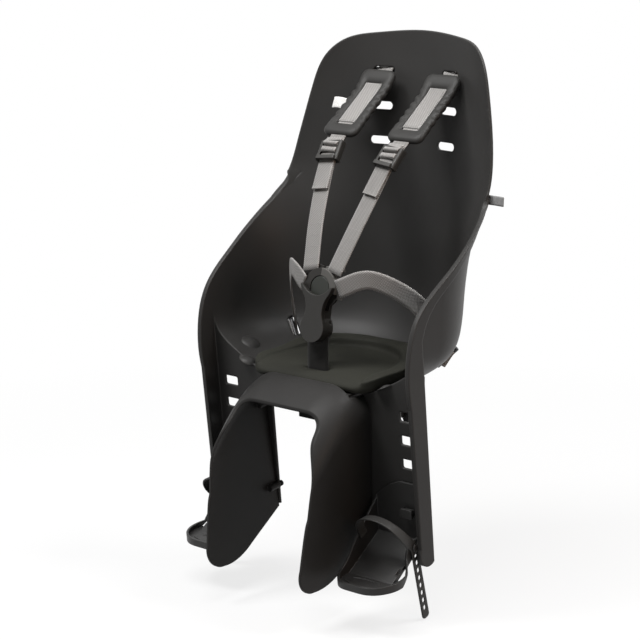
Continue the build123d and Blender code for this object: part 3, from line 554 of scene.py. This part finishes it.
def pad_ring(sign):
    outer = rounded_outline(PAD_WIDE, PAD_LONG, PAD_CORNER)
    inner = rounded_outline(*PAD_WINDOW, 4)
    verts, faces = [], []
    for (ox, oy), (ix, iy) in zip(outer, inner):
        along_side = max(0.0, 1 - (abs(oy) / (PAD_LONG / 2 - PAD_END)) ** 12)
        wave = 2 * math.pi * PAD_RIBS * (oy / (PAD_LONG - 2 * PAD_END) + 0.5)
        rib = 0.5 - 0.5 * math.cos(wave)
        dip = along_side * (1 - rib ** 0.5)
        end = 1 - along_side
        for share, n in PAD_SECTION:
            reach = 1 - RIB_DEPTH * dip * max(0.0, 1 - share) if n > -1 else 1
            push = RIB_INSET * dip * (1 - share) + share
            lift = n * reach + (END_RISE * end if n > 3 else 0)
            x, y = ox + (ix - ox) * push, oy + (iy - oy) * push
            verts.append(pad_point(sign, x, y, lift) * MM)
    ring, count = len(outer), len(PAD_SECTION)
    for n in range(ring):
        here, beyond = n * count, ((n + 1) % ring) * count
        for k in range(count):
            after = (k + 1) % count
            faces.append((here + k, here + after, beyond + after, beyond + k))
    return verts, faces


def add_back(sign, verts, faces):
    base = len(verts)
    sheet = rounded_outline(PAD_WIDE - 4, PAD_LONG - 4, 9)
    for depth in PAD_BACK:
        verts += [pad_point(sign, x, y, depth) * MM for x, y in sheet]
    size = len(sheet)
    faces.append(tuple(range(base, base + size)))
    faces.append(tuple(range(base + 2 * size - 1, base + size - 1, -1)))
    for k in range(size):
        a, b = base + k, base + (k + 1) % size
        faces.append((a, b, b + size, a + size))


for side, sign in SIDES:
    verts, faces = pad_ring(sign)
    add_back(sign, verts, faces)
    pad = piece("shoulder_pad_frame_" + side, verts, faces, "pad_fabric", "seat",
                ["shoulder_pad_" + side])
    sewn_run = [tuple(pad_point(sign, 0, down, SEWN_HEIGHT)) for down in (-45, -30, 0, 25, 42)]
    sewn_frames = line_frames(smooth_line(sewn_run, LINE_STEPS), ACROSS, ACROSS)
    ribbon("pad_webbing_" + side, sewn_frames, SEWN_WIDTH, SEWN_THICK, "webbing")
print("shoulder pads with", PAD_RIBS, "ribs a side")

# %% [markdown]
# ## Adjusters and strap tails
# The webbing goes over the bars of a ladder adjuster and hangs down as a tail. Over each bar lies a
# short ribbon with a hump, and the tail is a ribbon that starts under the adjuster and lies on the
# main strap.



# %% Web over the bars and tails
def strap_axes(way):
    # Directions down the strap and out of its face
    way = Vector(way).normalized()
    side = (Vector(ACROSS) - way * way.x).normalized()
    return way, way.cross(side)


adjust_way, adjust_out = strap_axes((-12.9, -63.4, -78.9))
adjust_middle = Vector((57, -6, 396))
below_way, below_out = strap_axes((-19, -59, -101))
below_middle = Vector((49.5, -35, 350))


def adjust_point(out, down):
    return adjust_middle + adjust_out * out + adjust_way * down


def below_point(out, down):
    return below_middle + below_out * out + below_way * down


BAR_HUMP = ((1.0, -6.4), (6.6, -4.4), (8.2, -1.0), (8.0, 1.6), (4.6, 3.2), (1.6, 3.8))
UPPER_HUMP = ((2.4, -24), (5.4, -17), (8.4, -13), (8.2, -10.4), (3.0, -8.6))
bar_run = [adjust_point(*spot) for spot in BAR_HUMP]
upper_run = [adjust_point(*spot) for spot in UPPER_HUMP]
between = (adjust_middle + below_middle) / 2 + below_out * 4.4
tail_run = [adjust_point(2.2, -4), adjust_point(3.0, 8), between]
tail_run += [below_point(4.6, 2), below_point(5.4, 9)]
for side, sign in SIDES:
    for name, run, width, replaced in (
        ("bar_webbing_", bar_run, WEB_WIDTH - 1, ()),
        ("upper_webbing_", upper_run, WEB_WIDTH - 1, ()),
        ("tail_webbing_", tail_run, WEB_WIDTH, ["strap_tail_" + side]),
    ):
        frames = line_frames(smooth_line(on_side(run, sign), LINE_STEPS), ACROSS, ACROSS)
        ribbon(name + side, frames, width, WEB_THICK, "webbing", replaced)
print("adjuster webs and tails made")

# %% [markdown]
# ## Shapes that grow along a line
# A stitch row and a moulded bead both follow a line, so Geometry Nodes makes them. The helpers here
# set up a node tree with named sizes, end it, and turn a line into a finished plain mesh with it.


# %% Helpers for Geometry Nodes
def grow_tree(name, sizes, surface):
    tree = bpy.data.node_groups.new(name, "GeometryNodeTree")
    socket = tree.interface.new_socket
    socket("Geometry", in_out="INPUT", socket_type="NodeSocketGeometry")
    for label, start in sizes:
        socket(label, in_out="INPUT", socket_type="NodeSocketFloat").default_value = start
    socket(surface, in_out="INPUT", socket_type="NodeSocketMaterial")
    socket("Geometry", in_out="OUTPUT", socket_type="NodeSocketGeometry")
    return tree, tree.nodes.new("NodeGroupInput"), tree.nodes.new("NodeGroupOutput")


def finish_tree(tree, start, end, shape, surface):
    # Every tree ends alike: plain geometry with its material
    real = tree.nodes.new("GeometryNodeRealizeInstances")
    paint = tree.nodes.new("GeometryNodeSetMaterial")
    tree.links.new(shape, real.inputs[0])
    tree.links.new(real.outputs[0], paint.inputs["Geometry"])
    tree.links.new(start.outputs[surface], paint.inputs["Material"])
    tree.links.new(paint.outputs[0], end.inputs["Geometry"])


def grown(name, verts, edges, tree, values, slot, body="seat"):
    mesh = bpy.data.meshes.new(name)
    mesh.from_pydata([tuple(v) for v in verts], edges, [])
    source = bpy.data.objects.new(name, mesh)
    scene.collection.objects.link(source)
    modifier = source.modifiers.new("grow", "NODES")
    modifier.node_group = tree
    ids = {s.name: s.identifier for s in tree.interface.items_tree if s.in_out == "INPUT"}
    for label, value in values.items():
        modifier[ids[label]] = value
    evaluated = source.evaluated_get(bpy.context.evaluated_depsgraph_get())
    plain = bpy.data.meshes.new_from_object(evaluated)
    source.modifiers.clear()
    source.data = plain
    plain.shade_smooth()
    return settle(source, slot, body)


# %% [markdown]
# ## Stitches
# The webbing's folded ends are sewn. A line across the strap becomes a curve, and a small ball,
# stretched along the line, stands at each step of it.

# %% Stitch rows
STITCH_SIZES = (("Spacing", 0.0024), ("Length", 0.0009), ("Thick", 0.0004))


def stitch_tree():
    tree, start, end = grow_tree("stitch_row", STITCH_SIZES, "Thread")
    curve = tree.nodes.new("GeometryNodeMeshToCurve")
    points = tree.nodes.new("GeometryNodeCurveToPoints")
    points.mode = "LENGTH"
    ball = tree.nodes.new("GeometryNodeMeshUVSphere")
    ball.inputs["Segments"].default_value = 8
    ball.inputs["Rings"].default_value = 6
    ball.inputs["Radius"].default_value = 1.0
    size = tree.nodes.new("ShaderNodeCombineXYZ")
    place = tree.nodes.new("GeometryNodeInstanceOnPoints")
    for source, target in (
        (start.outputs["Geometry"], curve.inputs["Mesh"]),
        (curve.outputs[0], points.inputs["Curve"]),
        (start.outputs["Spacing"], points.inputs["Length"]),
        (points.outputs["Points"], place.inputs["Points"]),
        (points.outputs["Rotation"], place.inputs["Rotation"]),
        (ball.outputs["Mesh"], place.inputs["Instance"]),
        (start.outputs["Thick"], size.inputs["X"]),
        (start.outputs["Thick"], size.inputs["Y"]),
        (start.outputs["Length"], size.inputs["Z"]),
        (size.outputs[0], place.inputs["Scale"]),
    ):
        tree.links.new(source, target)
    finish_tree(tree, start, end, place.outputs[0], "Thread")
    return tree


rows = []
for side, sign in SIDES:
    for down in (38.0, 41.0):
        rows.append([pad_point(sign, x, down, 2.5) for x in (-13, 13)])
    frames = strap_frames[side]
    for n in range(len(frames) - 9, len(frames) - 1, 2):
        place, across_it, out = frames[n]
        rows.append([place + across_it * x + out * (WEB_THICK / 2 + 0.1) for x in (-12, 12)])
verts = [p * MM for row in rows for p in row]
edges = [(2 * n, 2 * n + 1) for n in range(len(rows))]
thread = {"Thread": materials["webbing"]}
grown("strap_stitches", verts, edges, stitch_tree(), thread, "webbing")
print("stitch rows:", len(rows))

# %% [markdown]
# ## Cushion
# The cushion is moulded in one piece, without seams, so cloth would be the wrong way to make it. A
# copy of the plain solid is remeshed into small even cells and smoothed, which rounds every edge
# as a mould does. Then its raised lip is lowered towards the front, and its front edge is rolled
# down.

# %% Rounded cushion
CUSHION_TOP = 88.0
CUSHION_CELL = 0.0026
CUSHION_PASSES = 30
LAST_PASSES = 8
LIP_FRONT = 0.22
LIP_REAR = 0.7
LIP_FROM = -70
LIP_RUN = 90
ROLL_FROM = -92
ROLL_RUN = 42
ROLL_DROP = 10
ROLL_LOW = 70
ROLL_FADE = 16


def softened(name, node, cell, passes, slot, body):
    mesh = solids[node].data.copy()
    made = bpy.data.objects.new(name, mesh)
    made.matrix_world = solids[node].matrix_world.copy()
    scene.collection.objects.link(made)
    remesh = made.modifiers.new("cells", "REMESH")
    remesh.mode = "VOXEL"
    remesh.voxel_size = cell
    relax = made.modifiers.new("relax", "SMOOTH")
    relax.factor = 0.5
    relax.iterations = passes
    evaluated = made.evaluated_get(bpy.context.evaluated_depsgraph_get())
    plain = bpy.data.meshes.new_from_object(evaluated)
    plain.transform(solids[node].matrix_world)
    made.modifiers.clear()
    made.data = plain
    made.matrix_world.identity()
    plain.shade_smooth()
    return settle(made, slot, body, [node])


def cushion_height(y, z):
    rear = min(1.0, max(0.0, (y - LIP_FROM) / LIP_RUN))
    if z > CUSHION_TOP:
        lip = LIP_FRONT + LIP_REAR * rear * rear * (3 - 2 * rear)
        z = CUSHION_TOP + (z - CUSHION_TOP) * lip
    ahead = max(0.0, ROLL_FROM - y) / ROLL_RUN
    return z - ROLL_DROP * ahead * ahead * max(0.0, min(1.0, (z - ROLL_LOW) / ROLL_FADE))


cushion = softened("seat_cushion", "seat_pad", CUSHION_CELL, CUSHION_PASSES, "pad_foam", "seat")
for vertex in cushion.data.vertices:
    vertex.co.z = cushion_height(vertex.co.y / MM, vertex.co.z / MM) * MM
soft = bmesh.new()
soft.from_mesh(cushion.data)
for _ in range(LAST_PASSES):
    bmesh.ops.smooth_vert(
        soft, verts=soft.verts, factor=0.5, use_axis_x=True, use_axis_y=True, use_axis_z=True
    )
soft.to_mesh(cushion.data)
soft.free()
print("cushion cells:", len(cushion.data.polygons))

# %% [markdown]
# ## Foot straps
# The rubber straps over the feet are moulded too, so they are made like the cushion, with much
# smaller cells that keep their row of holes. Each rides on its footrest.

# %% Rubber foot straps
BAND_CELL = 0.0009
BAND_PASSES = 3
for side, _ in SIDES:
    band = softened("foot_band_" + side, "foot_strap_" + side, BAND_CELL, BAND_PASSES,
                    "strap_rubber", "footrest_" + side)
    print(band.name, "cells:", len(band.data.polygons))

# %% [markdown]
# ## Tread arcs
# The sole of each footrest has a few raised arcs. A ray from above finds the sole under each point
# of an arc, so the arc lies on it. Geometry Nodes then runs a round profile along the line.

# %% Raised arcs on the soles
SOLE_MIDDLE = 151
ARC_RISE = 9
ARC_ROWS = ((-188, 30), (-206, 26), (-222, 20))
BEAD_RADIUS = 0.0011


def bead_tree():
    tree, start, end = grow_tree("bead_along_line", (("Radius", 0.001),), "Finish")
    curve = tree.nodes.new("GeometryNodeMeshToCurve")
    ring = tree.nodes.new("GeometryNodeCurvePrimitiveCircle")
    ring.inputs["Resolution"].default_value = 10
    tube = tree.nodes.new("GeometryNodeCurveToMesh")
    tube.inputs["Fill Caps"].default_value = True
    for source, target in (
        (start.outputs["Geometry"], curve.inputs["Mesh"]),
        (start.outputs["Radius"], ring.inputs["Radius"]),
        (curve.outputs[0], tube.inputs["Curve"]),
        (ring.outputs[0], tube.inputs["Profile Curve"]),
    ):
        tree.links.new(source, target)
    finish_tree(tree, start, end, tube.outputs[0], "Finish")
    return tree


def on_sole(node, x, y):
    turned = solids[node].matrix_world.inverted()
    above = turned @ Vector((x * MM, y * MM, -0.12))
    found, place, _, _ = solids[node].ray_cast(above, turned.to_3x3() @ Vector((0, 0, -1)))
    return solids[node].matrix_world @ place if found else None


bead = bead_tree()
bead_values = {"Radius": BEAD_RADIUS, "Finish": materials["foot_plastic"]}
for side, sign in SIDES:
    verts, edges = [], []
    for middle, wide in ARC_ROWS:
        line = []
        for n in range(17):
            share = n / 8 - 1
            x = sign * (SOLE_MIDDLE + wide * share)
            line.append(on_sole("footrest_" + side, x, middle - ARC_RISE * (1 - share * share)))
        line = [p for p in line if p]
        edges += [(len(verts) + n, len(verts) + n + 1) for n in range(len(line) - 1)]
        verts += line
    grown("tread_arcs_" + side, verts, edges, bead, bead_values, "foot_plastic",
          "footrest_" + side)
    print("tread points:", side, len(verts))

# %% [markdown]
# ## Neck strips
# Where the headrest meets a wing, the rim runs down in one soft curve. A strip about as thick as
# the wall fills the corner there. Its four long edges are drawn as lines: outer front, inner
# front, inner rear and outer rear. The upper and rear ends lie inside the wall, so that the strip
# comes out of it at a flat angle.

# %% Neck strips
NECK_LINES = (
    ((191.3, 61.4, 360), (193.0, 57.8, 352), (193.9, 55.2, 346.8), (197.0, 51.2, 338),
     (198.8, 46.2, 331), (200.9, 37.5, 323.3), (203.6, 27.3, 313.8), (205.4, 14, 301.4)),
    ((191.0, 60.2, 360), (193.0, 53.4, 352), (194.0, 49.4, 346.8), (190.6, 47.6, 337.5),
     (190.2, 43.3, 330), (192.6, 36.3, 322.5), (195.2, 27.3, 313.8), (197.6, 14, 301.4)),
    ((176.2, 73.0, 360), (173.8, 71.8, 352), (172.6, 70.5, 346.4), (174.9, 65.6, 338),
     (179.3, 57.6, 330), (184.5, 47.2, 321), (189.9, 34.3, 310.5), (193.9, 20.5, 299.4)),
    ((183.0, 69.0, 360), (181.5, 68.2, 352), (182.6, 65.6, 346.4), (189.5, 60.6, 338),
     (193.5, 52, 330), (198.2, 41, 321), (202.1, 28, 310.5), (204.4, 14, 299.4)),
)
SHARP_ANGLE = 0.6
for side, sign in SIDES:
    runs = [smooth_line(on_side(line, sign), 6) for line in NECK_LINES]
    verts = [p * MM for row in zip(*runs) for p in row]
    last = 4 * (len(runs[0]) - 1)
    faces = [(0, 1, 2, 3), tuple(last + k for k in range(4))]
    for here in range(0, last, 4):
        for k in range(4):
            a, b = here + k, here + (k + 1) % 4
            faces.append((a, b, b + 4, a + 4))
    strip = piece("neck_strip_" + side, verts, faces, "shell_plastic", "seat")
    strip.data.set_sharp_from_angle(angle=SHARP_ANGLE)
    print(strip.name, "faces:", len(faces))

# %% [markdown]
# ## Side bosses
# Beside the cushion, two low round bosses stand out of each side of the shell. They are so shallow
# that a disc whose middle is raised in a bell curve is enough. Its edge dips just below the wall.

# %% Side bosses
# Centre, way out of the wall, radius, height
BOSSES = (
    ((163.0, -73.5, 94.8), (-0.524, 0, 0.852), 22.0, 3.6),
    ((133.5, -112.0, 78.6), (-0.455, 0, 0.891), 16.0, 3.0),
)
BOSS_RINGS = 10
BOSS_POINTS = 32
BOSS_DIP = 0.8


def boss(name, centre, out, radius, height):
    centre, out = Vector(centre), Vector(out).normalized()
    one = out.orthogonal().normalized()
    two = out.cross(one)
    verts = [(centre + out * height) * MM]
    for ring in range(1, BOSS_RINGS + 1):
        share = ring / BOSS_RINGS
        lift = height * (0.5 + 0.5 * math.cos(math.pi * share)) - BOSS_DIP * share
        for k in range(BOSS_POINTS):
            a = 2 * math.pi * k / BOSS_POINTS
            flat = (one * math.cos(a) + two * math.sin(a)) * radius * share
            verts.append((centre + flat + out * lift) * MM)
    faces = [(0, 1 + k, 1 + (k + 1) % BOSS_POINTS) for k in range(BOSS_POINTS)]
    for ring in range(BOSS_RINGS - 1):
        inner = 1 + BOSS_POINTS * ring
        outer = inner + BOSS_POINTS
        for k in range(BOSS_POINTS):
            after = (k + 1) % BOSS_POINTS
            faces.append((inner + k, outer + k, outer + after, inner + after))
    faces.append(tuple(range(1 + BOSS_POINTS * (BOSS_RINGS - 1), 1 + BOSS_POINTS * BOSS_RINGS)))
    return piece(name, verts, faces, "shell_plastic", "seat")


for side, sign in SIDES:
    for n, (centre, out, radius, height) in enumerate(BOSSES):
        centre, out = on_side((centre, out), sign)
        boss("boss_%s_%d" % (side, n + 1), centre, out, radius, height)
print("bosses a side:", len(BOSSES))

# %% [markdown]
# ## Tags
# Two plain cloth tags are sewn in: a white one at the edge of a shoulder pad and a grey folded one
# at the rim. Both are short ribbons with a slight wave.

# %% Plain tags
PAD_TAG_ACROSS = (0, -0.45, -0.893)
PAD_TAG_SIZE = (17.5, 0.7)
RIM_TAG_ACROSS = (0, 0, 1)
RIM_TAG_SIZE = (14.6, 1.4)
TAG_STEPS = 6
pad_tag_run = [
    tuple(pad_point(-1, x, 0, n)) for x, n in ((-29, -1.6), (-36, -0.6), (-45, 0.6), (-54.5, -0.4))
]
rim_tag_run = [(188, 62.6, 339), (200, 61.2, 339.4), (211, 61.2, 339), (216.4, 61.6, 338.8)]
tag_frames = line_frames(smooth_line(pad_tag_run, TAG_STEPS), PAD_TAG_ACROSS, PAD_TAG_ACROSS)
ribbon("shoulder_tag", tag_frames, *PAD_TAG_SIZE, "tag_cloth", ["pad_tag"])
tag_frames = line_frames(smooth_line(rim_tag_run, TAG_STEPS), RIM_TAG_ACROSS, RIM_TAG_ACROSS)
ribbon("edge_tag", tag_frames, *RIM_TAG_SIZE, "rim_tag_cloth", ["rim_tag"])
print("tags made")

# %% [markdown]
# ## Camera
# The camera stands where the photographer stood: forty degrees round, a little above, three metres
# away. A long lens from there keeps the upright edges nearly parallel.

# %% Camera
CAMERA_PLACE = (1.8611, -2.3181, 0.8076)
CAMERA_AIM = (-0.01692, -0.08011, 0.15197)


def aimed(made, place, aim):
    scene.collection.objects.link(made)
    made.location = place
    made.rotation_mode = "QUATERNION"
    made.rotation_quaternion = (Vector(aim) - made.location).to_track_quat("-Z", "Y")


camera = bpy.data.cameras.new("studio_camera")
camera.lens = 111.54
camera.sensor_width = 36
camera.clip_end = 120
viewer = bpy.data.objects.new("studio_camera", camera)
aimed(viewer, CAMERA_PLACE, CAMERA_AIM)
scene.camera = viewer
scene.view_settings.view_transform = "Standard"
print("camera lens:", round(camera.lens, 2), "mm")

# %% [markdown]
# ## Lamps
# Black plastic is shown by what shines along its edges. A key lamp from the left, one above and
# one behind draw the rims, and a weak warm lamp gives the right side its tint.

# %% Lamps
LAMP_AIM = (0, 0, 0.2)
WHITE = (1, 1, 1)
WARM = (1, 0.6, 0.36)
# Name, place, aim, size, power, colour
LAMPS = (
    ("key", (-0.9, -1.4, 2.6), LAMP_AIM, 0.8, 60, WHITE),
    ("top", (0.15, -0.7, 2.1), LAMP_AIM, 1.0, 32, WHITE),
    ("rear", (1.3, 0.9, 2.6), LAMP_AIM, 1.0, 60, WHITE),
    ("side", (2.6, -0.2, 0.9), (0, 0, 0.1), 1.2, 10, WARM),
)
for name, place, aim, size, power, colour in LAMPS:
    light = bpy.data.lights.new(name, "AREA")
    light.size = size
    light.energy = power
    light.color = colour
    aimed(bpy.data.objects.new(name, light), place, aim)
print("lamps:", len(LAMPS))

# %% [markdown]
# ## White surround
# The eye sees a white room, but a white room would also light the seat from all sides and flatten
# it. A Light Path node tells the two apart: rays that show the room get white, and the others get
# a dim level.

# %% White surround
ROOM_LEVEL = 0.05


def seen_directly(tree):
    # One for the rays that show a surface to the eye, in a mirror or through glass
    path = tree.nodes.new("ShaderNodeLightPath")
    total = path.outputs["Is Camera Ray"]
    for label in ("Is Glossy Ray", "Is Transmission Ray"):
        total = calc(tree, "MAXIMUM", total, path.outputs[label])
    return total


def chosen(tree, factor, first, second, end):
    choose = tree.nodes.new("ShaderNodeMixShader")
    tree.links.new(factor, choose.inputs[0])
    tree.links.new(first.outputs[0], choose.inputs[1])
    tree.links.new(second.outputs[0], choose.inputs[2])
    tree.links.new(choose.outputs[0], tree.nodes[end].inputs[0])


world = bpy.data.worlds.new("studio")
scene.world = world
world.use_nodes = True
tree = world.node_tree
dim = tree.nodes["Background"]
dim.inputs[0].default_value = (1, 1, 1, 1)
dim.inputs[1].default_value = ROOM_LEVEL
white = tree.nodes.new("ShaderNodeBackground")
white.inputs[0].default_value = (1, 1, 1, 1)
chosen(tree, seen_directly(tree), dim, white, "World Output")
print("room level:", ROOM_LEVEL)

# %% [markdown]
# ## Floor
# The pale floor keeps the seat's shadow. It is large, and away from the seat it glows until it is
# as white as the room, so no horizon shows. It throws only a little light back up.

# %% Floor
FLOOR_REACH = 30
FLOOR_GAP = 0.002
GLOW_SPAN = (0.5, 1.5)
GLOW_SHARE = (0.8, 1.0)
floor_low = boxes["cad"][0][2] - FLOOR_GAP
corners = ((-1, -1), (1, -1), (1, 1), (-1, 1))
floor_verts = [(x * FLOOR_REACH, y * FLOOR_REACH, floor_low) for x, y in corners]
floor_mesh = bpy.data.meshes.new("floor")
floor_mesh.from_pydata(floor_verts, [], [(0, 1, 2, 3)])
floor = bpy.data.objects.new("floor", floor_mesh)
scene.collection.objects.link(floor)
pale = bpy.data.materials.new("pale_floor")
pale.use_nodes = True
tree = pale.node_tree
shader = tree.nodes["Principled BSDF"]
level = calc(tree, "MULTIPLY_ADD", seen_directly(tree), 0.55, 0.25)
tree.links.new(level, shader.inputs["Base Color"])
shader.inputs["Roughness"].default_value = 0.9
spot = tree.nodes.new("ShaderNodeTexCoord")
far = tree.nodes.new("ShaderNodeVectorMath")
far.operation = "LENGTH"
tree.links.new(spot.outputs["Object"], far.inputs[0])
glow_share = mapped(tree, far.outputs["Value"], GLOW_SPAN, GLOW_SHARE)
glow = tree.nodes.new("ShaderNodeEmission")
glow_seen = calc(tree, "MULTIPLY", seen_directly(tree), glow_share)
chosen(tree, glow_seen, shader, glow, "Material Output")
floor_mesh.materials.append(pale)
floor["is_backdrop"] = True
print("floor height:", round(floor_low, 4))

# %% [markdown]
# ## Finish
# The boxes of the solids and of everything shown are printed side by side, so that a piece
# that grew too large stands out.

# %% Finish
boxes["shown"] = [list(corner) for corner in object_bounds()]
print("boxes:", boxes)
